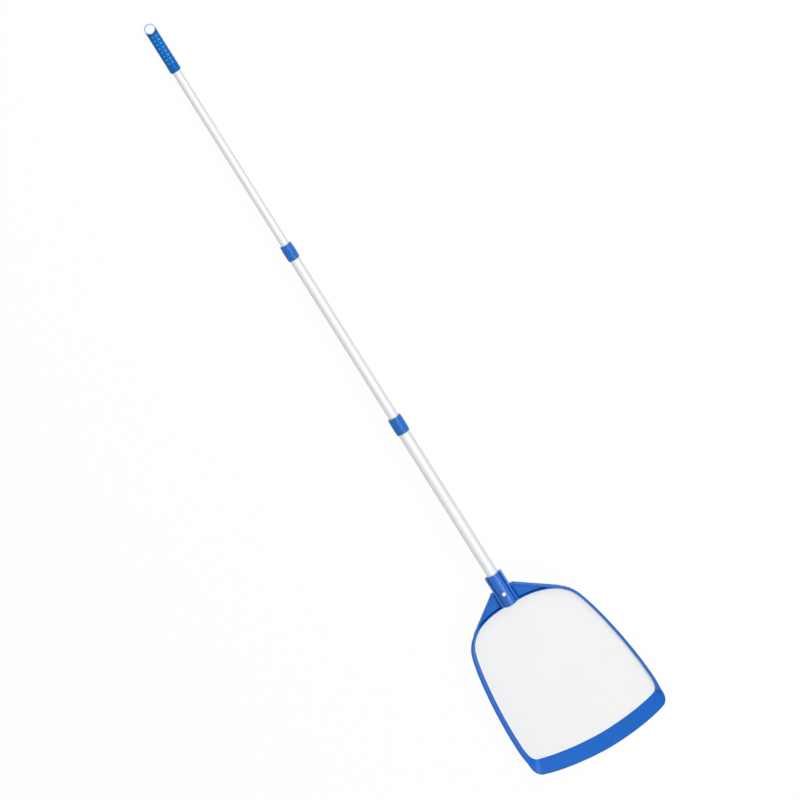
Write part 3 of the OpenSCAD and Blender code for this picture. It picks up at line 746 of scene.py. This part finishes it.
class SKIMMER_OT_socket(bpy.types.Operator):
    """Builds the socket with its side rails, bore and button holes, and finishes the ring"""
    bl_idname = "skimmer.socket"
    bl_label = "Socket and ring"

    def rails(self, head, half, start, end):
        """Both side rails and the web between them, whose grooves lie beside the barrel."""
        web, groove = 3.6 * MM, 13.4 * MM
        quarter = np.array([(half, head.rail_rise), (groove, head.rail_rise), (groove, web)])
        left = quarter[::-1] * [-1, 1]
        outline = np.concatenate([quarter, left, left[::-1] * [1, -1], quarter[::-1] * [1, -1]])
        radii = np.array([1.1, 0.9, 0.5, 0.5, 0.9, 1.1] * 2) * MM
        return along_pole(prism(rounded(outline, radii), start, end, 0.45 * MM))

    def execute(self, context):
        head = context.scene.skimmer_head
        mouth, end = head.mouth, head.mouth + head.socket_length
        rail_end = end - head.rail_short
        step = head.pan_start - head.gusset_back
        core_x, core_z = head.rail_half - 1.4 * MM, 2.4 * MM
        core = rectangle(-core_x, core_x, -core_z, core_z)
        barrel = along_pole(prism(circle(head.barrel), mouth, end, 1.1 * MM))
        hole = prism(circle(head.button_hole, 32), -0.02, 0.02)
        socket = carve("socket", barrel, ("UNION", [
            self.rails(head, head.rail_half, mouth, rail_end),
            self.rails(head, head.rail_half + head.rail_step, step, rail_end)]), ("DIFFERENCE", [
                along_pole(prism(circle(head.bore), mouth - MM, mouth + head.bore_depth)),
                along_pole(prism(core, mouth - MM, mouth + head.core_depth)),
                placed(hole, Matrix.Translation((0, head.button_place, 0)))]))
        mat = moulded_plastic("moulded polypropylene, socket", head.head_colour, 0.21, 0.46)
        soften(socket, mat)
        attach(socket, POLE)
        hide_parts("pole_socket")
        finish_nodes(moulded_plastic("moulded polypropylene, ring", head.head_colour), "net_ring")
        return {"FINISHED"}


# ---- Net ----

def weave_tree():
    """Geometry Nodes: a plain weave clipped to the outline face that the object holds."""
    tree, given = node_tree("plain weave", (
        ("Mesh pitch", "Float"), ("Strand radius", "Float"), ("Strand sides", "Int"),
        ("Across", "Int"), ("Along", "Int"), ("Centre", "Vector"), ("Material", "Material")))
    place = add_node(tree, "GeometryNodeInputPosition")
    apart = add_node(tree, "ShaderNodeVectorMath", {0: place, 1: given["Centre"]},
                     operation="SUBTRACT")
    axes = add_node(tree, "ShaderNodeSeparateXYZ", {"Vector": apart}).outputs
    known = {**{socket.name: socket for socket in given if socket.name},
             "x": axes["X"], "y": axes["Y"]}
    for name, operation, *terms in (
            ("columns", "SUBTRACT", "Across", 1.0),
            ("width", "MULTIPLY", "columns", "Mesh pitch"),
            ("rows", "SUBTRACT", "Along", 1.0),
            ("height", "MULTIPLY", "rows", "Mesh pitch"),
            # Which strand lies on top alternates from one crossing to the next
            ("column", "MULTIPLY_ADD", "width", 0.5, "x"),
            ("column", "DIVIDE", "column", "Mesh pitch"),
            ("column", "ROUND", "column"),
            ("row", "MULTIPLY_ADD", "height", 0.5, "y"),
            ("row", "DIVIDE", "row", "Mesh pitch"),
            ("row", "ROUND", "row"),
            ("total", "ADD", "column", "row"),
            ("odd", "MODULO", "total", 2.0),
            ("swing", "SUBTRACT", "odd", 0.5),
            ("over", "MULTIPLY", "swing", "Strand radius"),
            ("half", "MULTIPLY", "Mesh pitch", 0.5)):
        known[name] = add_node(tree, MATH, {i: known.get(term, term)
                                            for i, term in enumerate(terms)}, operation=operation)
    grid = add_node(tree, "GeometryNodeMeshGrid", {
        "Size X": known["width"], "Size Y": known["height"], "Vertices X": given["Across"],
        "Vertices Y": given["Along"]})
    moved = add_node(tree, "GeometryNodeTransform", {"Geometry": grid,
                                                     "Translation": given["Centre"]})

    # The outline face shows a ray from above which points of the grid it holds
    above = add_node(tree, "ShaderNodeVectorMath", {0: place, 1: (0, 0, 1)}, operation="ADD")
    ray = add_node(tree, "GeometryNodeRaycast", {
        "Target Geometry": given["Geometry"], "Source Position": above,
        "Ray Direction": (0, 0, -1), "Ray Length": 2.0})
    outside = add_node(tree, "FunctionNodeBooleanMath", {0: ray.outputs["Is Hit"]}, operation="NOT")
    inside = add_node(tree, "GeometryNodeDeleteGeometry", {"Geometry": moved, "Selection": outside},
                      domain="POINT")

    # Each half of the edges becomes the strands of one direction
    ring = add_node(tree, "GeometryNodeCurvePrimitiveCircle", {
        "Resolution": given["Strand sides"], "Radius": given["Strand radius"]})
    ends = add_node(tree, "GeometryNodeInputMeshEdgeVertices").outputs
    span = add_node(tree, "ShaderNodeVectorMath", {0: ends["Position 1"], 1: ends["Position 2"]},
                    operation="SUBTRACT")
    reach = add_node(tree, "ShaderNodeSeparateXYZ", {"Vector": span}).outputs
    joined = add_node(tree, "GeometryNodeJoinGeometry")
    for axis, sign in ((0, 2.0), (1, -2.0)):
        size = add_node(tree, MATH, {0: reach[axis]}, operation="ABSOLUTE")
        crossing = add_node(tree, MATH, {0: size, 1: known["half"]}, operation="GREATER_THAN")
        strands = add_node(tree, "GeometryNodeDeleteGeometry", {
            "Geometry": inside, "Selection": crossing}, domain="EDGE", mode="EDGE_FACE")
        height = add_node(tree, MATH, {0: known["over"], 1: sign}, operation="MULTIPLY")
        lift = add_node(tree, "ShaderNodeCombineXYZ", {"Z": height})
        waved = add_node(tree, "GeometryNodeSetPosition", {"Geometry": strands, "Offset": lift})
        curve = add_node(tree, "GeometryNodeMeshToCurve", {"Mesh": waved})
        tube = add_node(tree, "GeometryNodeCurveToMesh", {
            "Curve": curve, "Profile Curve": ring, "Fill Caps": True})
        tree.links.new(tube.outputs["Mesh"], joined.inputs["Geometry"])
    return end_tree(tree, joined, given["Material"])


def hem_tree():
    """Geometry Nodes: a flat band along a closed line."""
    tree, given = node_tree("welded hem", (("Width", "Float"), ("Thickness", "Float"),
                                           ("Material", "Material")))
    path = add_node(tree, "GeometryNodeMeshToCurve", {"Mesh": given["Geometry"]})
    level = add_node(tree, "GeometryNodeSetCurveNormal", {"Curve": path}, mode="Z_UP")
    band = add_node(tree, "GeometryNodeCurvePrimitiveQuadrilateral", {
        "Width": given["Width"], "Height": given["Thickness"]})
    tube = add_node(tree, "GeometryNodeCurveToMesh", {"Curve": level, "Profile Curve": band})
    return end_tree(tree, tube, given["Material"])


class SKIMMER_OT_net(bpy.types.Operator):
    """Weaves the net and lays its welded hem along the rim's foot"""
    bl_idname = "skimmer.net"
    bl_label = "Net"

    def hem(self, head, net):
        """The welded hem, a flat band that lies against the rim's foot."""
        points, normals = net_edge(head)
        middle = (net.tuck - net.hem) / 2
        hem = edge_path("net_hem", points + middle * normals, normals)
        mat = nylon_monofilament("welded nylon tape", net.hem_colour, 0.5)
        run_tree(hem, hem_tree(), {"Width": net.tuck + net.hem, "Thickness": net.hem_thick,
                                   "Material": mat})
        face_outwards(hem)
        level = head.top - head.depth - 0.02 * MM - net.hem_thick / 2
        hem.data.transform(pan_matrix(head) @ Matrix.Translation((0, 0, level)))
        soften(hem, mat)
        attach(hem, POLE)
        return hem

    def execute(self, context):
        head, net = context.scene.skimmer_head, context.scene.skimmer_net
        mat = nylon_monofilament("woven nylon monofilament", net.net_colour)
        points, normals = net_edge(head)
        edge = points + normals * net.tuck
        cloth = raw_object("net_weave", [(*p, 0.0) for p in edge], [tuple(range(len(edge)))])
        low, high = edge.min(0), edge.max(0)
        run_tree(cloth, weave_tree(), {
            "Mesh pitch": net.pitch, "Strand radius": net.strand, "Strand sides": 3,
            "Across": 2 * int(high[0] / net.pitch) + 1,
            "Along": int((high[1] - low[1]) / net.pitch) + 1,
            "Centre": (0.0, (low[1] + high[1]) / 2, 0.0), "Material": mat})
        level = head.top - head.depth - 2.1 * net.strand
        cloth.data.transform(pan_matrix(head) @ Matrix.Translation((0, 0, level)))
        mesh = cloth.data
        mesh.polygons.foreach_set("use_smooth", [True] * len(mesh.polygons))
        paint(mesh, mat)
        hem = self.hem(head, net)
        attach(cloth, POLE)
        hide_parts("net")
        return {"FINISHED"}


# ---- Pole ----

class SKIMMER_OT_tubes(bpy.types.Operator):
    """Finishes the three tubes"""
    bl_idname = "skimmer.tubes"
    bl_label = "Tubes"

    def execute(self, context):
        mat = anodised_aluminium("drawn anodised aluminium",
                                 context.scene.skimmer_pole.tube_colour)
        finish_nodes(mat, "inner_tube", "middle_tube", "outer_tube")
        return {"FINISHED"}


class SKIMMER_OT_collars(bpy.types.Operator):
    """Finishes the two collars"""
    bl_idname = "skimmer.collars"
    bl_label = "Collars"

    def execute(self, context):
        mat = moulded_plastic("moulded ABS, collar",
                              context.scene.skimmer_pole.collar_colour, 0.3, 0.34)
        finish_nodes(mat, "upper_collar", "lower_collar")
        return {"FINISHED"}


def dots_tree():
    """Geometry Nodes: rows of low domes round the pole."""
    tree, given = node_tree("grip dots", (
        ("Rows", "Int"), ("Dots in a row", "Int"), ("Pitch", "Float"), ("First", "Float"),
        ("Body radius", "Float"), ("Dot radius", "Float"), ("Dot height", "Float"),
        ("Turn", "Float"), ("Material", "Material")))
    count = add_node(tree, MATH, {0: given["Rows"], 1: given["Dots in a row"]},
                     operation="MULTIPLY")
    line = add_node(tree, "GeometryNodeMeshLine", {"Count": count})
    known = {**{socket.name: socket for socket in given if socket.name},
             "number": add_node(tree, "GeometryNodeInputIndex")}
    for name, operation, *terms in (
            ("share", "DIVIDE", "number", "Dots in a row"),
            ("row", "FLOOR", "share"),
            ("place", "MODULO", "number", "Dots in a row"),
            ("middle", "ADD", "row", 0.5),
            ("part", "DIVIDE", "middle", "Rows"),
            ("turn", "MULTIPLY_ADD", "part", 2 * math.pi, "Turn"),
            ("back", "MULTIPLY", "place", "Pitch"),
            ("along", "SUBTRACT", "First", "back"),
            ("sine", "SINE", "turn"),
            ("cosine", "COSINE", "turn"),
            ("across", "MULTIPLY", "sine", "Body radius"),
            ("up", "MULTIPLY", "cosine", "Body radius")):
        known[name] = add_node(tree, MATH, {i: known.get(term, term)
                                            for i, term in enumerate(terms)}, operation=operation)
    spot = add_node(tree, "ShaderNodeCombineXYZ", {"X": known["across"], "Y": known["along"],
                                                   "Z": known["up"]})
    spread = add_node(tree, "GeometryNodeSetPosition", {"Geometry": line, "Position": spot})
    dome = add_node(tree, "GeometryNodeMeshUVSphere", {"Segments": 12, "Rings": 8, "Radius": 1.0})
    lean = add_node(tree, "FunctionNodeEulerToRotation", {
        "Euler": add_node(tree, "ShaderNodeCombineXYZ", {"Y": known["turn"]})})
    size = add_node(tree, "ShaderNodeCombineXYZ", {
        "X": given["Dot radius"], "Y": given["Dot radius"], "Z": given["Dot height"]})
    dots = add_node(tree, "GeometryNodeInstanceOnPoints", {
        "Points": spread, "Instance": dome, "Rotation": lean, "Scale": size})
    return end_tree(tree, dots, given["Material"])


class SKIMMER_OT_grip(bpy.types.Operator):
    """Builds the hand grip with its hanging eye and its rows of raised dots"""
    bl_idname = "skimmer.grip"
    bl_label = "Grip"

    def execute(self, context):
        grip = context.scene.skimmer_grip
        # The shoulder rises in a quarter curve from the flat eye to the full round
        arc = np.linspace(0, math.pi / 2, 7)
        rise = grip.radius - grip.eye_half + 0.2 * MM
        curve = np.stack([grip.hole + grip.shoulder * (1 - np.cos(arc)),
                          grip.eye_half + rise * np.sin(arc)], 1)
        past = 2 * grip.radius
        over = np.concatenate([[[-past, grip.eye_half]], curve,
                               [[curve[-1, 0], past], [-past, past]]])
        # Outline over (along the pole, height), swept across the pole
        across = Matrix(((0, 0, 1, 0), (1, 0, 0, 0), (0, 1, 0, 0), (0, 0, 0, 1)))
        cuts = [placed(prism(outline, -past, past), across)
                for outline in (over, (over * [1, -1])[::-1])]
        body = along_pole(prism(circle(grip.radius, 72), 0.0, grip.front, grip.front_round, 5))
        eye = prism(circle(grip.radius, 72), -grip.eye_half, grip.eye_half, 0.5 * MM)
        hole = prism(circle(grip.hole, 72), -past, past)
        bore = along_pole(prism(circle(grip.bore), TUBE_START - 0.3 * MM, grip.front + MM))
        handle = carve("grip_body", body, ("DIFFERENCE", cuts), ("UNION", [eye]),
                       ("DIFFERENCE", [hole, bore]))
        handle.data.transform(Matrix.Rotation(grip.turn, 4, "Y"))
        # The grip's eye takes a painted lightening
        soften(handle, moulded_plastic("moulded polypropylene, grip", grip.grip_colour,
                                       0.34, 0.12, grip.painted_light_colour))
        # The dots' lighter colour is partly a painted highlight; their gloss is real
        mat = moulded_plastic("polypropylene dots with painted highlight", grip.dot_colour_and_highlight, 0.24, 1.0)
        dots = raw_object("grip_dots", [])
        run_tree(dots, dots_tree(), {
            "Rows": grip.dot_rows, "Dots in a row": grip.dot_count, "Pitch": grip.dot_pitch,
            "First": grip.dot_first, "Body radius": grip.radius, "Dot radius": grip.dot_radius,
            "Dot height": grip.dot_height, "Turn": grip.turn, "Material": mat})
        soften(dots, mat)
        for piece in (handle, dots):
            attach(piece, INNER_POLE)
        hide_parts("hand_grip")
        return {"FINISHED"}


class SKIMMER_OT_locks(bpy.types.Operator):
    """Finishes the twist locks inside the pole"""
    bl_idname = "skimmer.locks"
    bl_label = "Twist locks"

    def execute(self, context):
        pole = context.scene.skimmer_pole
        nylon = moulded_plastic("moulded nylon, lock", pole.lock_colour, 0.42)
        acetal = moulded_plastic("moulded acetal, sleeve", pole.button_colour, 0.36)
        steel = zinc_plated_steel("zinc-plated steel", pole.steel_colour)
        for place in ("upper", "lower"):
            finish_nodes(nylon, f"{place}_lock_stud", f"{place}_cone_nut")
            finish_nodes(acetal, f"{place}_lock_sleeve")
            finish_nodes(steel, f"{place}_lock_washer", f"{place}_lock_screw")
        return {"FINISHED"}


class SKIMMER_OT_clip(bpy.types.Operator):
    """Finishes the push buttons and gives the clip's legs cuts along them"""
    bl_idname = "skimmer.clip"
    bl_label = "Push-button clip"

    def leg(self, place, mat):
        """A copy of a leg with cuts along it between the clip and its button."""
        name = f"{place}_clip_leg"
        start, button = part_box(name)[0].y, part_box(f"{place}_button")[0].y
        mesh = NODES[name].data.copy()
        mesh.transform(NODES[name].matrix_world)
        shape = bmesh.new()
        shape.from_mesh(mesh)
        bmesh.ops.remove_doubles(shape, verts=shape.verts, dist=0.001 * MM)
        for share in np.linspace(start, button, 12)[1:]:
            bmesh.ops.bisect_plane(shape, geom=shape.verts[:] + shape.edges[:] + shape.faces[:],
                                   plane_co=(0, share, 0), plane_no=(0, 1, 0))
        shape.to_mesh(mesh)
        shape.free()
        leg = new_object(f"{place}_spring_leg", mesh)
        soften(leg, mat)
        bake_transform(leg)
        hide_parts(name)

    def execute(self, context):
        mat = moulded_plastic("moulded acetal, button",
                              context.scene.skimmer_pole.button_colour, 0.28)
        finish_nodes(mat, "clip_bend", "front_button", "rear_button")
        for place in ("front", "rear"):
            self.leg(place, mat)
        return {"FINISHED"}


# ---- Stage ----

VIEW_RIGHT = Vector((-0.8528, 0.5210, -0.0379))
VIEW_UP = Vector((-0.4940, -0.8279, -0.2658))
VIEW_BACK = Vector((-0.1699, -0.2079, 0.9633))
VIEW_CENTRE = Vector((-0.0261, 0.8169, 0.0))
# Across the pole as the camera sees it, to the side that the key light stands on
VIEW_ACROSS = (0.8464 * VIEW_RIGHT + 0.5326 * VIEW_UP).normalized()
KEY_FROM, STRIP_FROM = VIEW_BACK + 0.3 * VIEW_ACROSS, VIEW_BACK + 0.46 * VIEW_ACROSS
FILL_FROM = Vector((-0.14, 0.55, 0.82))
# How far the strip stands before the key
STRIP_NEAR = 0.1
# Nearly all of what the camera sees of the floor is white; the rest is its paint, with the shadow
FLOOR_WHITE = 0.96
FLOOR_HALF = 4.0


def aimed(obj, place, towards, up=VIEW_UP):
    """Stands obj at place, looking along its own -Z towards a point."""
    back = (place - towards).normalized()
    right = up.cross(back).normalized()
    turn = Matrix((right, back.cross(right), back)).transposed()
    obj.matrix_world = Matrix.Translation(place) @ turn.to_4x4()


def seen_share(tree):
    """1 for camera, glossy and transmission rays, and 0 for the light on the object."""
    path = add_node(tree, "ShaderNodeLightPath").outputs
    seen = add_node(tree, MATH, {0: path["Is Camera Ray"], 1: path["Is Glossy Ray"]},
                    operation="MAXIMUM")
    return add_node(tree, MATH, {0: seen, 1: path["Is Transmission Ray"]}, operation="MAXIMUM")


class SKIMMER_OT_stage(bpy.types.Operator):
    """Sets up the camera, the floor, the lights and the world"""
    bl_idname = "skimmer.stage"
    bl_label = "Stage"

    def execute(self, context):
        stage = context.scene.skimmer_stage
        scene = context.scene
        scene.view_settings.view_transform = "Standard"
        lens = bpy.data.cameras.new("camera")
        lens.lens, lens.sensor_width, lens.clip_start, lens.clip_end = stage.lens, 36.0, 1.0, 200.0
        camera = new_object("camera", lens)
        distance = stage.view_width * stage.lens / lens.sensor_width
        aimed(camera, VIEW_CENTRE + VIEW_BACK * distance, VIEW_CENTRE)
        scene.camera = camera
        self.floor(stage)
        self.lights(stage)
        self.world(scene, stage)
        return {"FINISHED"}

    def floor(self, stage):
        """The pale floor, on which the back of the grip and the far end of the net ring lie."""
        grip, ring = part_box("hand_grip"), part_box("net_ring")
        tilt = math.atan2(ring[0].z - grip[0].z, ring[1].y)
        corners = rectangle(-FLOOR_HALF, FLOOR_HALF, -FLOOR_HALF, FLOOR_HALF)
        floor = raw_object("floor", [(*corner, 0.0) for corner in corners], [(0, 1, 2, 3)])
        floor.data.transform(Matrix.Translation((0, 0, grip[0].z - 0.6 * MM))
                             @ Matrix.Rotation(tilt, 4, "X"))
        base = stage.floor_colour
        mat, tree = material_tree("painted studio floor", base)
        tint = noise_blend(tree, object_noise(tree, 2 * MM, detail=3.0), shade(base, 0.985), base)
        coat = add_node(tree, "ShaderNodeBsdfPrincipled", {"Base Color": tint, "Roughness": 0.9})
        share = add_node(tree, MATH, {0: seen_share(tree), 1: FLOOR_WHITE}, operation="MULTIPLY")
        white = add_node(tree, "ShaderNodeEmission", {"Color": (1, 1, 1, 1), "Strength": 1.0})
        mixed = add_node(tree, "ShaderNodeMixShader", {0: share, 1: coat, 2: white})
        add_node(tree, "ShaderNodeOutputMaterial", {"Surface": mixed})
        paint(floor.data, mat)

    def lights(self, stage):
        """A broad softbox, a narrow strip before it that draws the streak on round parts, and a
        fill beyond the lip that lightens the flat flanges and the net beside the arch."""
        long, wide = stage.key_length, stage.fill_width
        for name, width, tall, power, towards, near in (
                ("key", stage.key_width, long, stage.key_light, KEY_FROM, 0),
                ("strip", stage.strip_width, long, stage.strip_light, STRIP_FROM, STRIP_NEAR),
                ("fill", wide, wide, stage.fill_light, FILL_FROM, 0)):
            light = bpy.data.lights.new(name, "AREA")
            light.shape, light.size, light.size_y, light.energy = "RECTANGLE", width, tall, power
            place = VIEW_CENTRE + towards.normalized() * (stage.key_distance - near)
            aimed(new_object(name, light), place, VIEW_CENTRE, VIEW_BACK.cross(VIEW_ACROSS))

    def world(self, scene, stage):
        """An even sky, which is white to the camera and dimmer where it lights the object."""
        world = bpy.data.worlds.new("studio")
        world.use_nodes = True
        tree = world.node_tree
        tree.nodes.clear()
        strength = add_node(tree, "ShaderNodeMapRange", {
            "Value": seen_share(tree), "To Min": stage.sky, "To Max": 1.0})
        glow = add_node(tree, "ShaderNodeBackground", {"Color": (1, 1, 1, 1),
                                                       "Strength": strength})
        add_node(tree, "ShaderNodeOutputWorld", {"Surface": glow})
        scene.world = world


# ---- Add-on ----

GROUPS = {"skimmer_pole": SKIMMER_PG_pole, "skimmer_grip": SKIMMER_PG_grip,
          "skimmer_head": SKIMMER_PG_head, "skimmer_net": SKIMMER_PG_net,
          "skimmer_stage": SKIMMER_PG_stage}
OPERATORS = (SKIMMER_OT_stage, SKIMMER_OT_tubes, SKIMMER_OT_collars, SKIMMER_OT_grip,
             SKIMMER_OT_locks, SKIMMER_OT_clip, SKIMMER_OT_socket, SKIMMER_OT_gussets,
             SKIMMER_OT_rim, SKIMMER_OT_net)


class SKIMMER_PT_panel(bpy.types.Panel):
    """Lists the skimmer's settings and its pieces"""
    bl_idname = "SKIMMER_PT_panel"
    bl_label = "Leaf Skimmer Net"
    bl_space_type = "VIEW_3D"
    bl_region_type = "UI"
    bl_category = "Skimmer"

    def draw(self, context):
        """One box of settings for each group, and a button for each piece."""
        for attribute, group in GROUPS.items():
            box = self.layout.box()
            box.label(text=group.__doc__)
            for name in group.__annotations__:
                box.prop(getattr(context.scene, attribute), name)
        for operator in OPERATORS:
            self.layout.operator(operator.bl_idname)


def register():
    """Adds the classes and the scene's settings."""
    for group in GROUPS.values():
        bpy.utils.register_class(group)
    for attribute, group in GROUPS.items():
        setattr(bpy.types.Scene, attribute, PointerProperty(type=group))
    for cls in (*OPERATORS, SKIMMER_PT_panel):
        bpy.utils.register_class(cls)


def unregister():
    """Takes the classes and the scene's settings away."""
    for cls in reversed((*OPERATORS, SKIMMER_PT_panel)):
        bpy.utils.unregister_class(cls)
    for attribute, group in GROUPS.items():
        delattr(bpy.types.Scene, attribute)
        bpy.utils.unregister_class(group)


def main():
    """Builds everything."""
    register()
    for operator in OPERATORS:
        area, name = operator.bl_idname.split(".")
        getattr(getattr(bpy.ops, area), name)()


if __name__ == "__main__":
    main()
